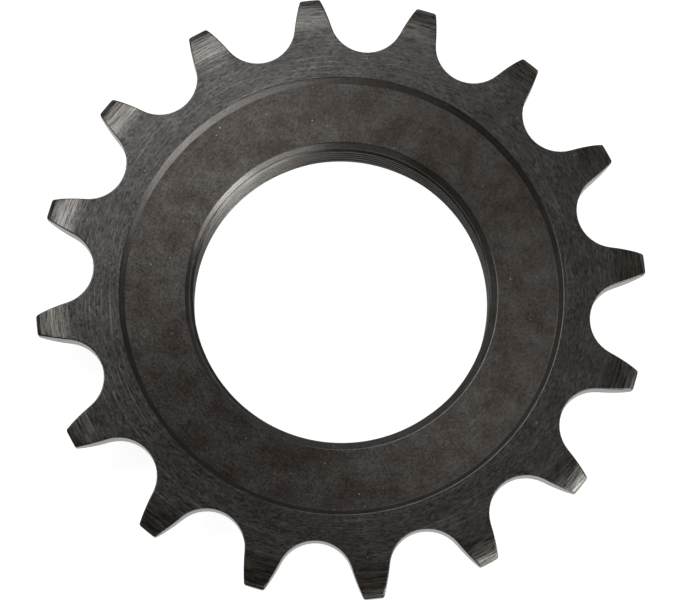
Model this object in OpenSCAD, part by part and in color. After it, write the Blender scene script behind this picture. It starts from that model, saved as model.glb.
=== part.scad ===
// Track cog: a one-piece steel chain wheel that screws onto a fixed-gear bicycle hub, in millimetres.
// It lies on the back of its boss, with the thread's axis along +Z and a tooth gap centred on +X.

/* [Chain] */
// Number of teeth
teeth = 16; // [13:1:22]
// Distance from one chain roller to the next
chain_pitch = 12.7; // [12.4:0.1:13]
// Diameter of the chain's rollers
roller_d = 7.75; // [7.5:0.05:8]

/* [Teeth] */
// Thickness of the toothed ring
ring_t = 3; // [2.5:0.1:3.5]
// Height of the tooth tips above the pitch circle
tip_rise = 2.45; // [2:0.05:2.9]
// Play under the roller, on the root circle's diameter
root_play = 0.35; // [0:0.05:0.6]
// Play beside the roller, on the seat's radius
seat_play = 0.45; // [0.1:0.05:0.6]
// How far inside the pitch circle the tooth faces start to thin
relief_inset = 0.55; // [0.1:0.05:0.9]
// Slope of the tooth faces where they start to thin, in degrees
relief_angle = 6; // [3:0.5:9]
// Radius of the curve that goes on thinning them towards the tip
relief_r = 12.5; // [10:0.5:16]
// Width of the chamfer along the front and back edge of a tooth tip
tip_chamfer = 0.5; // [0.2:0.05:0.6]
// Slope of that chamfer, in degrees
tip_slope = 40; // [30:1:45]
// Radius of the rounded corners at a tooth tip
tip_corner_r = 0.3; // [0.15:0.05:0.4]

/* [Hub] */
// Height from the back of the boss to the front of the toothed ring
hub_h = 7.8; // [6.5:0.1:9]
// Diameter of the boss behind the toothed ring
boss_d = 44; // [38:0.5:46]
// Chamfer round the back of the boss
boss_chamfer = 0.6; // [0.2:0.1:1.2]
// Diameter of the hub thread at its crests
thread_d = 34; // [33.5:0.1:34.4]
// Chamfer at the front mouth of the thread
mouth_chamfer = 0.9; // [0.4:0.05:1.2]
// Chamfer at the back mouth of the thread
back_chamfer = 0.5; // [0.3:0.1:1.2]

/* [Front recess] */
// Width of the flat rim between the tooth roots and the recess
rim_w = 3.1; // [2.5:0.05:3.3]
// Depth of the recess in the front face
recess_depth = 0.85; // [0.4:0.05:1.4]
// Width of the recess's sloping wall, seen from the front
recess_slope = 0.55; // [0.2:0.05:0.8]

/* [Hidden] */
$fn = 180;

// Circles that the chain sets
pitch_r = chain_pitch / sin(180 / teeth) / 2;
root_r = pitch_r - (roller_d + root_play) / 2;
tip_r = pitch_r + tip_rise;

// A tooth gap: a round seat for the roller, then a long convex flank up each side
seat_r = roller_d / 2 + seat_play;
seat_centre_r = root_r + seat_r;
seat_half_angle = 70 - 45 / teeth;
flank_r = 0.008 * roller_d * (teeth * teeth + 180);
// Circles that would only touch lap by this much, so that they meet in one clean edge
touch_lap = 0.001;
flank_reach = seat_r + flank_r - touch_lap;
flank_x = -flank_reach * cos(seat_half_angle);
flank_y = flank_reach * sin(seat_half_angle);

// The rounded corner of a tooth tip: its circle touches the flank's circle and the tip circle from inside
corner_from_flank = flank_r - tip_corner_r + touch_lap;
corner_from_axis = tip_r - tip_corner_r + touch_lap;
flank_from_axis = norm([seat_centre_r + flank_x, flank_y]);
flank_angle = atan2(flank_y, seat_centre_r + flank_x);
corner_turn = acos((pow(flank_from_axis, 2) + pow(corner_from_axis, 2) - pow(corner_from_flank, 2))
    / (2 * flank_from_axis * corner_from_axis));
corner_angle = flank_angle - corner_turn;

// Heights and radii of the turned section
ring_back_z = hub_h - ring_t;
floor_z = hub_h - recess_depth;
relief_start_r = pitch_r - relief_inset;
relief_centre_r = relief_start_r - relief_r * sin(relief_angle);
relief_centre_drop = relief_r * cos(relief_angle);
tip_edge_run = tip_r - tip_chamfer - relief_centre_r;
relief_drop = relief_centre_drop - sqrt(pow(relief_r, 2) - pow(tip_edge_run, 2));
tip_drop = relief_drop + tip_chamfer * tan(tip_slope);
recess_r = root_r - rim_w;
recess_floor_r = recess_r - recess_slope;
boss_r = boss_d / 2;
thread_r = thread_d / 2;
mouth_r = thread_r + mouth_chamfer;
back_mouth_r = thread_r + back_chamfer;

// How far a cut runs past the surface that it opens
past = 1;

// The toothed ring's section: flat faces, then two arcs that draw together towards the chamfered tip
module ring_section() {
    chamfer_rise = (tip_r - relief_start_r) * tan(tip_slope);
    translate([0, ring_back_z])
        square([relief_start_r, ring_t]);
    intersection() {
        polygon([
            [relief_start_r, ring_back_z + tip_drop - chamfer_rise],
            [tip_r, ring_back_z + tip_drop],
            [tip_r, hub_h - tip_drop],
            [relief_start_r, hub_h - tip_drop + chamfer_rise]
        ]);
        translate([relief_centre_r, hub_h - relief_centre_drop])
            circle(relief_r);
        translate([relief_centre_r, ring_back_z + relief_centre_drop])
            circle(relief_r);
    }
}

// The boss's section, chamfered round its back
module boss_section() {
    polygon([
        [0, 0],
        [boss_r - boss_chamfer, 0],
        [boss_r, boss_chamfer],
        [boss_r, ring_back_z],
        [0, ring_back_z]
    ]);
}

// The bore's section, with its chamfer at each mouth
module bore_section() {
    polygon([
        [0, -past],
        [back_mouth_r + past, -past],
        [thread_r, back_chamfer],
        [thread_r, floor_z - mouth_chamfer],
        [mouth_r + past, floor_z + past],
        [0, floor_z + past]
    ]);
}

// The shallow recess in the front face, with its sloping wall
module recess_section() {
    wall_past = recess_slope * past / recess_depth;
    polygon([
        [0, floor_z],
        [recess_floor_r, floor_z],
        [recess_r + wall_past, hub_h + past],
        [0, hub_h + past]
    ]);
}

// The blank as it comes off the lathe
module turned_blank() {
    rotate_extrude()
        difference() {
            union() {
                ring_section();
                boss_section();
            }
            bore_section();
            recess_section();
        }
}

// What a rounded corner takes off a tooth tip, drawn about the centre of its circle
module corner_cut(flank_way, tip_way) {
    reach = 2 * tip_corner_r;
    difference() {
        polygon([
            [0, 0],
            reach * flank_way,
            reach * (flank_way + tip_way),
            reach * tip_way
        ]);
        circle(tip_corner_r);
    }
}

// One tooth gap, drawn about the centre of the roller seat with the way out along +X
module gap_outline() {
    circle(seat_r);
    difference() {
        polygon([
            [0, 0],
            [flank_x, flank_y],
            [tip_rise + roller_d, flank_y],
            [tip_rise + roller_d, -flank_y],
            [flank_x, -flank_y]
        ]);
        for (side = [-1, 1])
            translate([flank_x, side * flank_y])
                circle(flank_r);
    }
    corner_x = corner_from_axis * cos(corner_angle) - seat_centre_r;
    corner_y = corner_from_axis * sin(corner_angle);
    for (side = [-1, 1])
        translate([corner_x, side * corner_y])
            corner_cut(
                [corner_x - flank_x, side * (corner_y - flank_y)] / corner_from_flank,
                [cos(corner_angle), side * sin(corner_angle)]
            );
}

// All the tooth gaps, evenly round the cog
module tooth_gaps() {
    for (i = [0 : teeth - 1])
        rotate(i * 360 / teeth)
            translate([seat_centre_r, 0, ring_back_z - past])
                linear_extrude(ring_t + 2 * past)
                    gap_outline();
}

module track_cog() {
    color([0.16, 0.16, 0.17])
        difference() {
            turned_blank();
            tooth_gaps();
        }
}

track_cog();
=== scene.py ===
# %% [markdown]
# # A track cog of black steel
# The object is a chain wheel for a fixed-gear bicycle: one piece of steel, turned on a lathe, toothed on
# a milling machine and then blackened. The CAD model has its exact form. This script gives it its looks:
# the thread in the bore, the small roundings that catch the light, and six finishes with the marks that
# the tools, the blackening and some dust left on the steel.

import math

import bpy
import numpy as np
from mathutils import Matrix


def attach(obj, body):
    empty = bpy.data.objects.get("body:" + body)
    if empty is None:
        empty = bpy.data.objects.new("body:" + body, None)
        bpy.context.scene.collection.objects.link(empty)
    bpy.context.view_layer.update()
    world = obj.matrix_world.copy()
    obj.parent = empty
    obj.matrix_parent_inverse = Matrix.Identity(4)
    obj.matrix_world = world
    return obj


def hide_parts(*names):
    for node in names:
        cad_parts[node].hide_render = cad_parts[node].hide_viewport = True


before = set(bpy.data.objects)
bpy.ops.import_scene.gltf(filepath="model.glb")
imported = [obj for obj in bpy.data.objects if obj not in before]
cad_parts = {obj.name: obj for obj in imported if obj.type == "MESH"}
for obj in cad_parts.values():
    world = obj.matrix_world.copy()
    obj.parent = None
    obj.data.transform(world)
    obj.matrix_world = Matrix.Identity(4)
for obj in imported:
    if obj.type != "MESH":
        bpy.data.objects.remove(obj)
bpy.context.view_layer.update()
scene = bpy.context.scene

# %% [markdown]
# ## Sizes
# All lengths are in metres, so a millimetre gets its own name. A chain sets the size of every chain
# wheel: sixteen teeth at a pitch of half an inch fix the pitch circle, and the roller's diameter fixes
# the gaps between the teeth. The sweep of a roller's seat and the radius of a flank follow the usual
# proportions of chain wheels. The CAD model has the same sizes, so the dressed cog lies where the solid
# lies.

# %% Sizes that the chain sets
MM = 0.001
TEETH = 16
CHAIN_PITCH = 12.7 * MM
ROLLER_D = 7.75 * MM
ROOT_PLAY = 0.35 * MM
SEAT_PLAY = 0.45 * MM
TIP_RISE = 2.45 * MM
TIP_CORNER_R = 0.3 * MM

PITCH_R = CHAIN_PITCH / math.sin(math.pi / TEETH) / 2
ROOT_R = PITCH_R - (ROLLER_D + ROOT_PLAY) / 2
TIP_R = PITCH_R + TIP_RISE
SEAT_R = ROLLER_D / 2 + SEAT_PLAY
SEAT_CENTRE_R = ROOT_R + SEAT_R
SEAT_SWEEP = math.radians(70 - 45 / TEETH)
FLANK_R = 0.008 * ROLLER_D * (TEETH**2 + 180)
print(f"pitch circle {2000 * PITCH_R:.2f} mm, roots {2000 * ROOT_R:.2f} mm, tips {2000 * TIP_R:.2f} mm")

# %% [markdown]
# The other sizes belong to the lathe. In front a toothed ring lies round a shallow recess, and the bore
# opens in the recess with a chamfer. Behind, a narrower boss stands against the hub. The faces of the
# teeth are relieved, which means that they get thinner towards the tips. Hubs of this kind have twenty-
# four threads in an inch.

# %% Sizes of the turned section
HUB_H = 7.8 * MM
RING_T = 3 * MM
RIM_W = 3.1 * MM
RECESS_DEPTH = 0.85 * MM
RECESS_SLOPE = 0.55 * MM
RELIEF_INSET = 0.55 * MM
RELIEF_R = 12.5 * MM
RELIEF_ANGLE = math.radians(6)
SOFT_DROP = 0.05 * MM
TIP_CHAMFER = 0.5 * MM
TIP_SLOPE = math.radians(40)
BOSS_R = 22 * MM
BOSS_CHAMFER = 0.6 * MM
THREAD_R = 17 * MM
THREAD_DEPTH = 0.4 * MM
THREAD_PITCH = 25.4 * MM / 24
MOUTH_CHAMFER = 0.9 * MM
BACK_CHAMFER = 0.5 * MM

RING_BACK_Z = HUB_H - RING_T
FLOOR_Z = HUB_H - RECESS_DEPTH
RECESS_R = ROOT_R - RIM_W
RECESS_FLOOR_R = RECESS_R - RECESS_SLOPE
RELIEF_START_R = PITCH_R - RELIEF_INSET
RELIEF_CENTRE_R = RELIEF_START_R - RELIEF_R * math.sin(RELIEF_ANGLE)
SOFT_RUN = 2 * SOFT_DROP / math.tan(RELIEF_ANGLE)
TIP_CHAMFER_R = TIP_R - TIP_CHAMFER
MOUTH_R = THREAD_R + MOUTH_CHAMFER
print(f"recess {2000 * RECESS_R:.2f} mm across, mouth of the bore {2000 * MOUTH_R:.2f} mm across")

# %% [markdown]
# ## The outline of the teeth
# Seen along the axis, half a tooth gap is four circular arcs: the hollow seat of the roller, the long
# flank, a small corner and half of the tip. Boolean cuts could make the gaps, but a line of known points
# lets the faces follow it. Complex numbers suit such a line. A direction is `exp(i * angle)`, so every
# point is an arc's centre plus its radius times a direction, and that direction is also the way the
# surface faces there.

# %% One line round all sixteen teeth
SEAT_STEPS = 8
FLANK_STEPS = 5
CORNER_STEPS = 3
TIP_STEPS = 2


def tooth_outline():
    """The line round the teeth as complex points, and the outward direction at each of them.

    Each arc is centre + radius * direction, with a negative radius for the hollow seat. The second half
    of a gap is the first one mirrored in the middle of the tooth, and one pitch of the line is turned
    sixteen times."""
    flank_centre = SEAT_CENTRE_R - (SEAT_R + FLANK_R) * np.exp(-1j * SEAT_SWEEP)
    from_axis = TIP_R - TIP_CORNER_R
    from_flank = FLANK_R - TIP_CORNER_R
    far = abs(flank_centre)
    turn = math.acos((far**2 + from_axis**2 - from_flank**2) / (2 * far * from_axis))
    corner_centre = from_axis * np.exp(1j * (np.angle(flank_centre) - turn))
    flank_end = np.angle(corner_centre - flank_centre)
    corner_end = np.angle(corner_centre)
    angles = np.concatenate([
        np.linspace(0, -SEAT_SWEEP, SEAT_STEPS + 1),
        np.linspace(-SEAT_SWEEP, flank_end, FLANK_STEPS + 1)[1:],
        np.linspace(flank_end, corner_end, CORNER_STEPS + 1)[1:],
        np.linspace(corner_end, math.pi / TEETH, TIP_STEPS + 1)[1:],
    ])
    counts = [SEAT_STEPS + 1, FLANK_STEPS, CORNER_STEPS, TIP_STEPS]
    centres = np.repeat([SEAT_CENTRE_R, flank_centre, corner_centre, 0], counts)
    radii = np.repeat([-SEAT_R, FLANK_R, TIP_CORNER_R, TIP_R], counts)
    facing = np.exp(1j * angles)
    points = centres + radii * facing
    one_pitch = np.exp(2j * math.pi / TEETH)
    points = np.concatenate([points, (np.conj(points) * one_pitch)[-2:0:-1]])
    facing = np.concatenate([facing, (np.conj(facing) * one_pitch)[-2:0:-1]])
    turns = one_pitch ** np.arange(TEETH)
    return np.outer(turns, points).ravel(), np.outer(turns, facing).ravel()


outline, outline_facing = tooth_outline()
COLUMNS = len(outline)
outline_r = 1000 * abs(outline)
print(f"outline: {COLUMNS} points, radius {outline_r.min():.2f} to {outline_r.max():.2f} mm")

# %% [markdown]
# ## The section
# A lathe leaves no perfectly sharp edge, and the thin bright lines in the photo are light on those small
# roundings. A Bevel modifier could round the edges, but here every edge has its own radius. So a helper
# draws a section line through named corners and rounds each of them.

# %% Rounded section lines
ARC_STEPS = 4


def rounded_path(corners):
    """A section line as complex numbers, radius + i * height, with an arc at every inner corner.

    Each corner is a radius, a height and the radius of its arc. An arc turns its first spoke into its
    last one: start * (end / start) ** share, for a share from 0 to 1."""
    spots = [complex(radius, height) for radius, height, _ in corners]
    path = [spots[:1]]
    for before, corner, after, (_, _, rounding) in zip(spots, spots[1:], spots[2:], corners[1:]):
        back = (before - corner) / abs(before - corner)
        onward = (after - corner) / abs(after - corner)
        half_angle = abs(np.angle(onward / back)) / 2
        centre = corner + (back + onward) / abs(back + onward) * rounding / math.sin(half_angle)
        start = corner + back * rounding / math.tan(half_angle) - centre
        end = corner + onward * rounding / math.tan(half_angle) - centre
        path.append(centre + start * (end / start) ** np.linspace(0, 1, ARC_STEPS + 1))
    path.append(spots[-1:])
    return np.concatenate(path)


print("a rounded corner has", ARC_STEPS + 1, "points")

# %% [markdown]
# The thread winds through the bore as a right-hand helix. A separate spiral could lie in a smooth bore,
# but then two surfaces would fight for the same place. As a function, the bore's radius depends only on
# the height and the angle, which together say how far from the middle of the groove a point lies.

# %% The thread in the bore
GROOVE_FLOOR = 0.12 * MM
GROOVE_SIDE = math.radians(30)


def bore_radius(height, angle):
    """The bore's radius: a right-hand thread with straight sides, and a cone of 45 degrees at both ends.

    Across one turn the groove is a flat floor and two slanting sides, and the rest is crest."""
    across = THREAD_PITCH * abs((height / THREAD_PITCH - angle / (2 * math.pi)) % 1 - 0.5)
    side_run = THREAD_DEPTH * math.tan(GROOVE_SIDE)
    groove = np.clip((GROOVE_FLOOR + side_run - across) / side_run, 0, 1)
    front_cone = THREAD_R + height - (FLOOR_Z - MOUTH_CHAMFER)
    back_cone = THREAD_R + BACK_CHAMFER - height
    return np.maximum(THREAD_R + THREAD_DEPTH * groove, np.maximum(front_cone, back_cone))


print(f"thread: {FLOOR_Z / THREAD_PITCH:.1f} turns, {1000 * THREAD_PITCH:.3f} mm apart")

# %% [markdown]
# Thin teeth help the chain to find its place. On the real cog the flat ring bends softly into the relief,
# so a short parabola leads into the arc that thins the teeth, and a small chamfer ends it.

# %% The thinning of the teeth


def face_drop(radius):
    """How far a tooth face lies below the flat ring: a soft start, a thinning arc and a chamfer.

    The soft start is a parabola, drop * share ** 2, and ends with the slope that the arc begins with."""
    soft = SOFT_DROP * np.clip(1 + (radius - RELIEF_START_R) / SOFT_RUN, 0, 1) ** 2
    run = np.clip(radius, RELIEF_START_R, TIP_CHAMFER_R) - RELIEF_CENTRE_R
    arc = RELIEF_R * math.cos(RELIEF_ANGLE) - np.sqrt(RELIEF_R**2 - run**2)
    return soft + arc + np.clip(radius - TIP_CHAMFER_R, 0, None) * math.tan(TIP_SLOPE)


print(f"a tooth is {1000 * (RING_T - 2 * face_drop(TIP_R)):.2f} mm thick at its tip")

# %% [markdown]
# ## The body
# A Screw modifier and boolean cuts could make the cog as the workshop does, but they leave ragged faces
# at the thread and the teeth. So the whole cog is one grid. Its columns go round the axis and its rows go
# round the section: up the bore, out over the front, down the teeth and in over the back. Each row is
# kept with the finish of the strip that follows it.

# %% Rows of the grid
ZONES = ["ring_face", "tooth_face", "recess_floor", "recess_wall", "turned_edge", "flank"]
RING, TOOTH, RECESS, WALL, TURNED, FLANK = range(len(ZONES))
column_angle = 2 * math.pi * np.arange(COLUMNS) / COLUMNS
column_way = np.exp(1j * column_angle)
blocks = []


def add_rows(place, height, zone):
    """Keeps rows of the grid: complex places seen along the axis, their heights and their finishes.

    A row's finish covers the strip from that row to the next one."""
    shape = np.broadcast_shapes(place.shape, height.shape)
    row_zones = np.broadcast_to(zone, shape[:1])
    blocks.append((np.broadcast_to(place, shape), np.broadcast_to(height, shape), row_zones))


def add_turned(corners, stretches):
    """Rows of a turned surface: each point of a rounded section line becomes a circle round the axis.

    Each straight stretch has its own finish, and the arcs between them are turned edges."""
    path = rounded_path(corners)
    arcs = [[TURNED] * ARC_STEPS + [zone] for zone in stretches[1:]]
    row_zones = np.concatenate([stretches[:1], *arcs, stretches[-1:]])
    add_rows(path.real[:, None] * column_way, path.imag[:, None], row_zones)


print("finishes of the rows:", ", ".join(ZONES))

# %% [markdown]
# The rows start in the bore. Those of the thread end just outside its grooves, where only the plain cone
# of the chamfer is left. From there the section line goes over the recess floor and up its wall to the
# flat ring.

# %% Up the bore and out over the front
THREAD_ROWS = 72
PAST_GROOVE = 0.03 * MM
EDGE = 0.12 * MM
MOUTH_ROUNDING = 1.6 * EDGE
WALL_FOOT_ROUNDING = 0.5 * EDGE
RING_ROUNDING = 1.35 * EDGE
BLEND_R = 27.4 * MM

cone_r = THREAD_R + THREAD_DEPTH + PAST_GROOVE
cone_front_z = cone_r - THREAD_R + FLOOR_Z - MOUTH_CHAMFER
cone_back_z = THREAD_R + BACK_CHAMFER - cone_r
thread_z = np.linspace(cone_back_z, cone_front_z, THREAD_ROWS)[:, None]
add_rows(bore_radius(thread_z, column_angle) * column_way, thread_z, TURNED)
add_turned([
    (cone_r + EDGE, cone_front_z + EDGE, 0),
    (MOUTH_R, FLOOR_Z, MOUTH_ROUNDING),
    (RECESS_FLOOR_R, FLOOR_Z, WALL_FOOT_ROUNDING),
    (RECESS_R, HUB_H, RING_ROUNDING),
    (BLEND_R, HUB_H, 0),
], [TURNED, RECESS, WALL, RING])
print("rows in the bore and on the front:", sum(len(rows) for _, _, rows in blocks))

# %% [markdown]
# Near the bore a column is a plain half plane. Over the teeth it bends so that its outer end meets the
# tooth outline, which keeps the grid even on the flanks. Knots on each column mark where the face changes
# its slope, and the rows lie evenly between them. The soft start still has the ring's finish, so that no
# line shows where the finish of the tooth begins.

# %% The front faces of the teeth
KNOT_GAP = 0.02 * MM
edge_place = outline - EDGE * outline_facing
edge_r = abs(edge_place)
edge_turn = np.angle(edge_place / column_way)
knots = np.stack([
    np.full(COLUMNS, BLEND_R),
    np.minimum(RELIEF_START_R - SOFT_RUN, edge_r - 3 * KNOT_GAP),
    np.minimum(RELIEF_START_R, edge_r - 2 * KNOT_GAP),
    np.minimum(TIP_CHAMFER_R, edge_r - KNOT_GAP),
    edge_r,
])
knot_zones = [RING, RING, TOOTH, TOOTH]


def toothed_face(steps):
    """Places and radii over the teeth: each stretch between two knots is cut into equal steps of radius.

    The angle goes in step with the radius from the column's own angle to that of the tooth outline."""
    stretches = [k + np.arange(1, count + 1) / count for k, count in enumerate(steps)]
    share = np.concatenate(stretches)[:, None]
    stretch = np.minimum(share.astype(int), len(steps) - 1)
    part = share - stretch
    column = np.arange(COLUMNS)
    radius = knots[stretch, column] * (1 - part) + knots[stretch + 1, column] * part
    turned = edge_turn * (radius - BLEND_R) / (edge_r - BLEND_R)
    return radius * column_way * np.exp(1j * turned), radius


front_steps = [4, 4, 8, 3]
front_place, front_r = toothed_face(front_steps)
front_zones = np.repeat(knot_zones, front_steps)
add_rows(front_place, HUB_H - face_drop(front_r), np.append(front_zones[1:], RING))
print(f"front faces: {len(front_r)} rows, out to a radius of {1000 * front_r.max():.2f} mm")

# %% [markdown]
# The cutter that made the gaps went straight through, so the flanks stand upright between two rounded
# edges. The back edge is the front edge mirrored in the middle of the ring.

# %% The flanks
WALL_STEPS = 3
edge_angle = np.linspace(0, math.pi / 2, ARC_STEPS + 1)[1:, None]
edge_out = edge_place + EDGE * np.sin(edge_angle) * outline_facing
front_edge = HUB_H - face_drop(edge_r) - EDGE * (1 - np.cos(edge_angle))
back_edge = RING_BACK_Z + HUB_H - front_edge
share_down = np.linspace(0, 1, WALL_STEPS + 1)[1:-1, None]
add_rows(edge_out, front_edge, np.array([TURNED] * (ARC_STEPS - 1) + [FLANK]))
add_rows(outline, front_edge[-1] * (1 - share_down) + back_edge[-1] * share_down, FLANK)
add_rows(edge_out[::-1], back_edge[::-1], FLANK)
flank_h = 1000 * (front_edge[-1] - back_edge[-1])
print(f"flanks: {flank_h.min():.2f} to {flank_h.max():.2f} mm high between the roundings")

# %% [markdown]
# The back doesn't show in the photo. It is like other cogs of this kind: the teeth thin as they do in
# front, the ring is flat, and a boss with a softly rounded foot carries the face that stands against the
# hub.

# %% In over the back
BOSS_FOOT_ROUNDING = 3 * EDGE
BACK_ROUNDING = EDGE / 4
back_steps = [3, 2, 5, 2]
back_place, back_r = toothed_face(back_steps)
back_zones = np.repeat(knot_zones, back_steps)
add_rows(back_place[::-1], (RING_BACK_Z + face_drop(back_r))[::-1], back_zones[::-1])
add_turned([
    (BLEND_R, RING_BACK_Z, 0),
    (BOSS_R, RING_BACK_Z, BOSS_FOOT_ROUNDING),
    (BOSS_R, BOSS_CHAMFER, EDGE),
    (BOSS_R - BOSS_CHAMFER, 0, EDGE),
    (THREAD_R + BACK_CHAMFER, 0, BACK_ROUNDING),
    (cone_r, cone_back_z, 0),
], [RING, TURNED, TURNED, RECESS, TURNED])

places, heights, zones = (np.concatenate(parts) for parts in zip(*blocks))
print(f"section: {len(zones)} rows, so the grid has {len(zones) * COLUMNS * 2} triangles")

# %% [markdown]
# Both directions of the grid close on themselves, so the cog is a ring of quads without a seam. Smooth
# shading needs one normal at each point. Adding up the cross products of the quads round a point weighs
# each by its area, so the wide flat faces stay flat right up to their rounded edges.

# %% The grid becomes a mesh


def ring_mesh(name, places, heights, zones):
    """A mesh from a grid that is closed both ways.

    Quad (i, j) joins rows i and i + 1 and columns j and j + 1. The normal at a point is the sum of the
    cross products of the diagonals of the four quads round it."""
    spots = np.stack([places.real, places.imag, heights], axis=-1)
    index = np.arange(places.size).reshape(places.shape)
    above = np.roll(index, -1, axis=0)
    quads = np.stack([index, above, np.roll(above, -1, axis=1), np.roll(index, -1, axis=1)], axis=-1)
    flat = spots.reshape(-1, 3)
    corners = flat[quads]
    across = np.cross(corners[..., 2, :] - corners[..., 0, :], corners[..., 3, :] - corners[..., 1, :])
    normals = across + np.roll(across, 1, axis=0)
    normals = normals + np.roll(normals, 1, axis=1)
    normals /= np.linalg.norm(normals, axis=-1, keepdims=True)
    mesh = bpy.data.meshes.new(name)
    mesh.vertices.add(len(flat))
    mesh.vertices.foreach_set("co", flat.astype(np.float32).ravel())
    mesh.loops.add(quads.size)
    mesh.loops.foreach_set("vertex_index", quads.astype(np.int32).ravel())
    mesh.polygons.add(quads.size // 4)
    mesh.polygons.foreach_set("loop_start", np.arange(0, quads.size, 4, dtype=np.int32))
    mesh.polygons.foreach_set("material_index", np.repeat(zones, places.shape[1]).astype(np.int32))
    mesh.update(calc_edges=True)
    mesh.normals_split_custom_set_from_vertices(normals.reshape(-1, 3))
    body = bpy.data.objects.new(name, mesh)
    scene.collection.objects.link(body)
    return body


cog = ring_mesh("cog_body", places, heights, zones)
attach(cog, "root")
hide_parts("track_cog")
print("mesh valid:", not cog.data.validate(), "box, mm:", [round(1000 * x, 2) for x in cog.dimensions])

# %% [markdown]
# ## Finishes
# Blackening turns the surface of steel into a thin dark oxide that still shines like metal, so each
# finish is a metal with a dark colour. What differs is the tool: the lathe leaves rings round the axis,
# which also stretch the highlights, and the recess floor is duller and browner. Pictures could be wrapped
# round the cog, but rings and grain are easier to work out from a point's distance from the axis, its
# height and its direction.

# %% A small language for shader nodes


class Graph:
    """The nodes of one material, written as calls: each call adds a node and returns its output."""

    def __init__(self, name):
        self.material = bpy.data.materials.new(name)
        self.material.use_nodes = True
        self.tree = self.material.node_tree

    def plug(self, socket, value):
        """Links an output to a socket, or sets the socket to a plain value."""
        if isinstance(value, bpy.types.NodeSocket):
            self.tree.links.new(value, socket)
        else:
            socket.default_value = value

    def add(self, kind, inputs, output=0, **settings):
        """Adds a node of that kind, with its settings and inputs, and returns one of its outputs."""
        node = self.tree.nodes.new(kind)
        for key, value in settings.items():
            setattr(node, key, value)
        for key, value in inputs.items():
            self.plug(node.inputs[key], value)
        return node.outputs[output]

    def math(self, operation, a, b=0.0):
        """Arithmetic on two numbers."""
        return self.add("ShaderNodeMath", {0: a, 1: b}, operation=operation)

    def vector(self, operation, a, b=(0, 0, 0), output="Vector"):
        """Arithmetic on two vectors."""
        return self.add("ShaderNodeVectorMath", {0: a, 1: b}, output, operation=operation)

    def scale(self, vector, factor):
        """A vector times a number."""
        return self.add("ShaderNodeVectorMath", {"Vector": vector, "Scale": factor}, operation="SCALE")

    def noise(self, place, scale, detail=2.0, harshness=0.5):
        """Smooth noise that stays near a half, with finer detail of that harshness in it."""
        inputs = {"Vector": place, "Scale": scale, "Detail": detail, "Roughness": harshness}
        return self.add("ShaderNodeTexNoise", inputs, "Fac")

    def stretch(self, value, low, high, new_low=0.0, new_high=1.0):
        """Maps the range from low to high onto a new range, and holds what lies outside it."""
        old_range = {"From Min": low, "From Max": high}
        new_range = {"To Min": new_low, "To Max": new_high}
        return self.add("ShaderNodeMapRange", {"Value": value, **old_range, **new_range})

    def mix(self, share, a, b):
        """A colour between a and b."""
        return self.add("ShaderNodeMix", {"Factor": share, 6: a, 7: b}, 2, data_type="RGBA")

    def shade(self, looks):
        """Gives each of the named sockets of the material's own shader its look."""
        for socket, value in looks.items():
            self.plug(self.tree.nodes["Principled BSDF"].inputs[socket], value)


print("calls of a graph:", ", ".join(name for name in vars(Graph) if not name.startswith("__")))

# %% [markdown]
# One function makes all six finishes. Turning marks are noise in stretched coordinates: fine across the
# marks and long along them. They change the colour, the roughness and, as a bump, the slope of the
# surface. Noise stays near a half, so each pattern stretches a narrow range of it. A speck of dust is the
# middle of a random cell.

# %% Blackened steel
UM = 1e-6
GRAINS_PER_M = 3500
CLOUDS_PER_M = 290
SCRATCHES_PER_M = 7000
SCRATCHES_PER_RADIAN = 3
DUST_CELLS_PER_M = 850
DUST_PATCHES_PER_M = 130
SMALL_SPECK = 0.025
LARGE_SPECK = 0.09
SPECK_EDGE = 0.05
DUST_COLOUR = (0.5, 0.48, 0.45, 1)
SECTION_LEAN = 0.7
MARK_ROUGHNESS = 0.03


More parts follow.
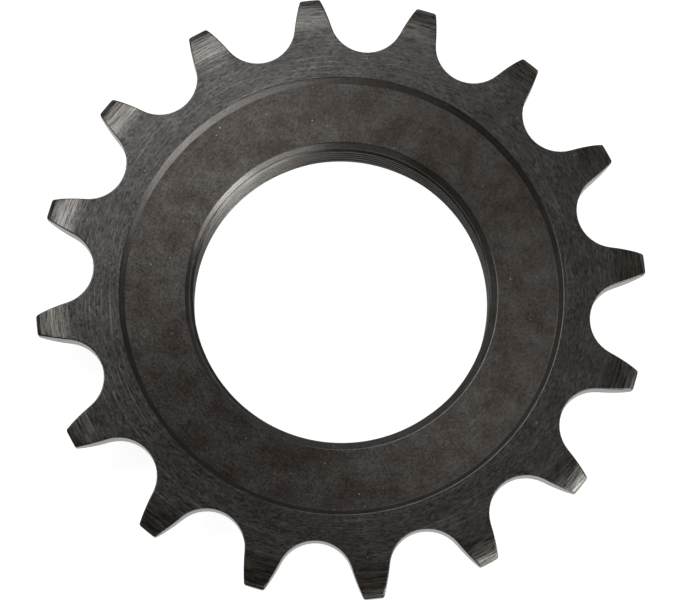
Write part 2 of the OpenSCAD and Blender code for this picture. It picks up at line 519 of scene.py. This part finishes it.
def blackened_steel(name, brown, grey, roughness, stretch, strokes, depth, across, runs, grain, scratches,
                    specks, painted_light_gradient=(0, 0, 0), glare=0.45):
    """Dark oxide on steel, clouded between a brown and a grey.

    Strokes, grain, scratches and specks say how strongly turning marks, a fine speckle, bright scratches
    and dust show. Depth is the height of the turning marks, across is how many lie in a metre, and runs
    how many in a radian. The painted light gradient is painted light: it says how much lighter the black
    is painted in a metre along X, Y and Z, so that one side looks more brightly lit. Glare is the share
    of the mirror shine that is left at a grazing angle. Stretch says how far a highlight is drawn out.
    Grooves throw light to both sides of themselves, so it is drawn out along the direction that lies in
    the surface and square to the marks."""
    g = Graph(name)
    coordinates = g.tree.nodes.new("ShaderNodeTexCoord").outputs
    place = coordinates["Object"]
    flat = g.vector("MULTIPLY", place, (1, 1, 0))
    way = g.vector("NORMALIZE", flat)
    radius = g.vector("LENGTH", flat, output="Value")
    height = g.add("ShaderNodeSeparateXYZ", {0: place}, "Z")
    along_section = g.math("ADD", radius, g.math("MULTIPLY", height, SECTION_LEAN))

    def turned(round_count, across_count):
        """A place for noise that is long round the axis and fine along the section."""
        rise = g.add("ShaderNodeCombineXYZ", {"Z": g.math("MULTIPLY", along_section, across_count)})
        return g.vector("ADD", g.scale(way, round_count), rise)

    marks = g.stretch(g.noise(turned(runs, across), 1.0, 3.0), 0.3, 0.7, -1.0, 1.0)
    speckle = g.stretch(g.noise(place, GRAINS_PER_M, 3.0, 0.8), 0.35, 0.65, -1.0, 1.0)
    cloud = g.stretch(g.noise(place, CLOUDS_PER_M, 5.0, 0.6), 0.36, 0.64)
    scratch_noise = g.noise(turned(SCRATCHES_PER_RADIAN, SCRATCHES_PER_M), 1.0, 1.0)
    scratch = g.stretch(scratch_noise, 0.60, 0.72, 0.0, scratches)
    shade = g.math("ADD", g.math("MULTIPLY", marks, strokes), g.math("MULTIPLY", speckle, grain))
    shade = g.math("ADD", g.math("ADD", shade, scratch), 1.0)
    # Painted light: the colour grows lighter in a straight slope across the cog, so that one side looks
    # more brightly lit.
    shade = g.math("ADD", shade, g.vector("DOT_PRODUCT", place, painted_light_gradient, output="Value"))
    colour = g.scale(g.mix(cloud, (*brown, 1), (*grey, 1)), shade)
    from_middle = g.add("ShaderNodeTexVoronoi", {"Vector": place, "Scale": DUST_CELLS_PER_M}, "Distance")
    speck_size = g.stretch(g.noise(place, DUST_PATCHES_PER_M), 0.41, 0.60, SMALL_SPECK, LARGE_SPECK)
    dust = g.stretch(g.math("SUBTRACT", speck_size, from_middle), 0.0, SPECK_EDGE, 0.0, specks)
    bump = {"Height": g.math("MULTIPLY", marks, depth), "Strength": 1.0, "Distance": 1.0}
    round_the_axis = g.vector("CROSS_PRODUCT", (0, 0, 1), way)
    g.shade({
        "Base Color": g.mix(dust, colour, DUST_COLOUR),
        "Metallic": g.math("SUBTRACT", 1.0, dust),
        "Roughness": g.math("ADD", g.math("MULTIPLY", marks, MARK_ROUGHNESS), roughness),
        "Normal": g.add("ShaderNodeBump", bump, "Normal"),
        "Specular Tint": (glare, glare, glare, 1),
        "Anisotropic": stretch,
        "Tangent": g.vector("CROSS_PRODUCT", round_the_axis, coordinates["Normal"]),
    })
    return g.material


print(f"a cell of dust is about {1000 / DUST_CELLS_PER_M:.2f} mm wide")

# %% [markdown]
# The ring has short, fine marks all round. The relief of the teeth was turned with a coarser cut that
# shows as light and dark streaks. The recess floor is almost bare of marks but clouded, and its wall is
# the dullest of all. The flanks were milled, so their highlights aren't drawn out by rings.

# %% The six finishes
finishes = {
    "ring_face": dict(
        brown=(0.066, 0.062, 0.059), grey=(0.085, 0.084, 0.083), roughness=0.28, stretch=0.3,
        strokes=0.32, depth=2.0 * UM, across=6500, runs=40, grain=0.32, scratches=0.8, specks=0.5,
        # Painted light: the ring is painted lighter towards +X, standing in for more light on that side.
        painted_light_gradient=(6, 1, 0),
    ),
    "tooth_face": dict(
        brown=(0.080, 0.075, 0.068), grey=(0.094, 0.092, 0.089), roughness=0.28, stretch=0.3,
        strokes=0.70, depth=4.5 * UM, across=7500, runs=16, grain=0.20, scratches=1.0, specks=0.4,
    ),
    "recess_floor": dict(
        brown=(0.051, 0.043, 0.038), grey=(0.077, 0.073, 0.069), roughness=0.36, stretch=0.5,
        strokes=0.08, depth=0.4 * UM, across=5000, runs=20, grain=0.36, scratches=0.2, specks=0.6,
        # Painted light: the recess floor is painted lighter towards +X and +Y, standing in for more light
        # on that side.
        painted_light_gradient=(7, 5, 0),
    ),
    "recess_wall": dict(
        brown=(0.119, 0.111, 0.102), grey=(0.130, 0.127, 0.122), roughness=0.44, stretch=0.5,
        strokes=0.20, depth=1.0 * UM, across=8000, runs=10, grain=0.25, scratches=0.3, specks=0.8,
    ),
    "turned_edge": dict(
        brown=(0.084, 0.078, 0.072), grey=(0.092, 0.090, 0.087), roughness=0.32, stretch=0.6,
        strokes=0.20, depth=1.5 * UM, across=6000, runs=10, grain=0.20, scratches=0.3, specks=0.8,
    ),
    "flank": dict(
        brown=(0.105, 0.097, 0.088), grey=(0.130, 0.125, 0.118), roughness=0.32, stretch=0.0,
        strokes=0.10, depth=0.5 * UM, across=3000, runs=20, grain=0.25, scratches=0.0, specks=0.2,
        glare=1.0,
    ),
}
for zone in ZONES:
    cog.data.materials.append(blackened_steel(zone, **finishes[zone]))
print("finishes:", ", ".join(m.name for m in cog.data.materials))

# %% [markdown]
# ## Camera
# The photo looks almost straight down, from about 38 cm, through a long lens. The camera first stands
# straight above the middle of the cog, then tips towards the near side, and the whole view turns a few
# degrees round the axis. These numbers were fitted to the outlines in the photo. The lens itself is given
# in millimetres, as lenses are.

# %% The camera of the photo
FOCAL_LENGTH = 177
SENSOR_WIDTH = 36
VIEW_DISTANCE = 381.9 * MM
VIEW_TIP = math.radians(10.42)
VIEW_LEAN = math.radians(-0.84)
VIEW_TURN = math.radians(5.19)
AIM_RIGHT = -0.19 * MM
AIM_UP = -0.78 * MM

lens = bpy.data.cameras.new("photo_camera")
lens.lens = FOCAL_LENGTH
lens.sensor_width = SENSOR_WIDTH
camera = bpy.data.objects.new("photo_camera", lens)
scene.collection.objects.link(camera)
camera.rotation_euler = (VIEW_TIP, VIEW_LEAN, VIEW_TURN)
view_axes = np.array(camera.rotation_euler.to_matrix())
camera.location = view_axes @ (AIM_RIGHT, AIM_UP, VIEW_DISTANCE) + (0, 0, HUB_H)
scene.camera = camera
print("camera at, mm:", [round(1000 * x, 1) for x in camera.location])

# %% [markdown]
# ## Light
# Where the photo is bright tells where its lamps stood. The thinned teeth at the upper left shine, so a
# large soft lamp and a wide, weaker one stand high on that side. The chamfers that face the lower right
# shine too, so two lamps stand low there and one higher up. Two dim cards, one near and one at the upper
# right, lift the darkest sides a little. A picture of a room could light the cog too, but rectangles show
# in the metal as a photographer's lamps do, and each can be moved by itself.

# %% Lamps
LAMP_DISTANCE = 0.7


def softbox(name, bearing, elevation, width, height, radiance):
    """A rectangular lamp aimed at the cog.

    Its bearing goes clockwise from the top of the picture, in degrees, and its elevation is in degrees. A
    flat lamp that glows evenly with that radiance gives off radiance * pi * area of power."""
    around = math.radians(90 - bearing) + VIEW_TURN
    rise = math.radians(elevation)
    lamp = bpy.data.lights.new(name, "AREA")
    lamp.shape = "RECTANGLE"
    lamp.size = width
    lamp.size_y = height
    lamp.energy = radiance * math.pi * width * height
    stand = bpy.data.objects.new(name, lamp)
    level = math.cos(rise)
    towards = np.array([level * math.cos(around), level * math.sin(around), math.sin(rise)])
    stand.location = LAMP_DISTANCE * towards
    stand.rotation_euler = (math.pi / 2 - rise, 0, around + math.pi / 2)
    stand.visible_camera = False
    scene.collection.objects.link(stand)


lamps = {
    "high_softbox": dict(bearing=324, elevation=62, width=0.52, height=0.28, radiance=4.1),
    "high_fill": dict(bearing=310, elevation=41, width=1.00, height=0.26, radiance=1.5),
    "low_softbox": dict(bearing=125, elevation=12, width=0.26, height=0.24, radiance=7.0),
    "low_fill": dict(bearing=134, elevation=8, width=0.95, height=0.18, radiance=5.2),
    "near_softbox": dict(bearing=130, elevation=40, width=0.46, height=0.30, radiance=5.5),
    "near_card": dict(bearing=185, elevation=7, width=0.60, height=0.16, radiance=0.8),
    "far_card": dict(bearing=40, elevation=42, width=0.80, height=0.45, radiance=0.17),
}
for name, setting in lamps.items():
    softbox(name, **setting)

# %% [markdown]
# ## Room and floor
# The flat faces mirror a dim, warm room above and stay dark. The cog lies on a white floor that glows for
# the camera and in reflections, as a brightly lit table does, but is a plain grey to all other light, so
# it keeps a soft shadow.

# %% Room and floor
ROOM_COLOUR = (0.105, 0.087, 0.072, 1)
FLOOR_REACH = 2.0
FLOOR_GAP = 0.01 * MM
FLOOR_GREY = 0.25
FLOOR_ROUGHNESS = 0.9
FLOOR_GLOW = 0.92

room = bpy.data.worlds.new("dim_room")
room.use_nodes = True
room.node_tree.nodes["Background"].inputs["Color"].default_value = ROOM_COLOUR
scene.world = room

floor_mesh = bpy.data.meshes.new("floor")
floor_sides = [(-1, -1), (1, -1), (1, 1), (-1, 1)]
floor_corners = [(x * FLOOR_REACH, y * FLOOR_REACH, -FLOOR_GAP) for x, y in floor_sides]
floor_mesh.from_pydata(floor_corners, [], [(0, 1, 2, 3)])
floor = bpy.data.objects.new("floor", floor_mesh)
scene.collection.objects.link(floor)

g = Graph("white_floor")
rays = g.tree.nodes.new("ShaderNodeLightPath").outputs
seen = g.math("MAXIMUM", rays["Is Camera Ray"], rays["Is Glossy Ray"])
seen = g.math("MAXIMUM", seen, rays["Is Transmission Ray"])
g.shade({
    "Base Color": (FLOOR_GREY, FLOOR_GREY, FLOOR_GREY, 1),
    "Roughness": FLOOR_ROUGHNESS,
    "Emission Color": (1, 1, 1, 1),
    "Emission Strength": g.math("MULTIPLY", seen, FLOOR_GLOW),
})
floor_mesh.materials.append(g.material)

scene.view_settings.view_transform = "Standard"
print("room and floor:", room.name, "and", floor.name)
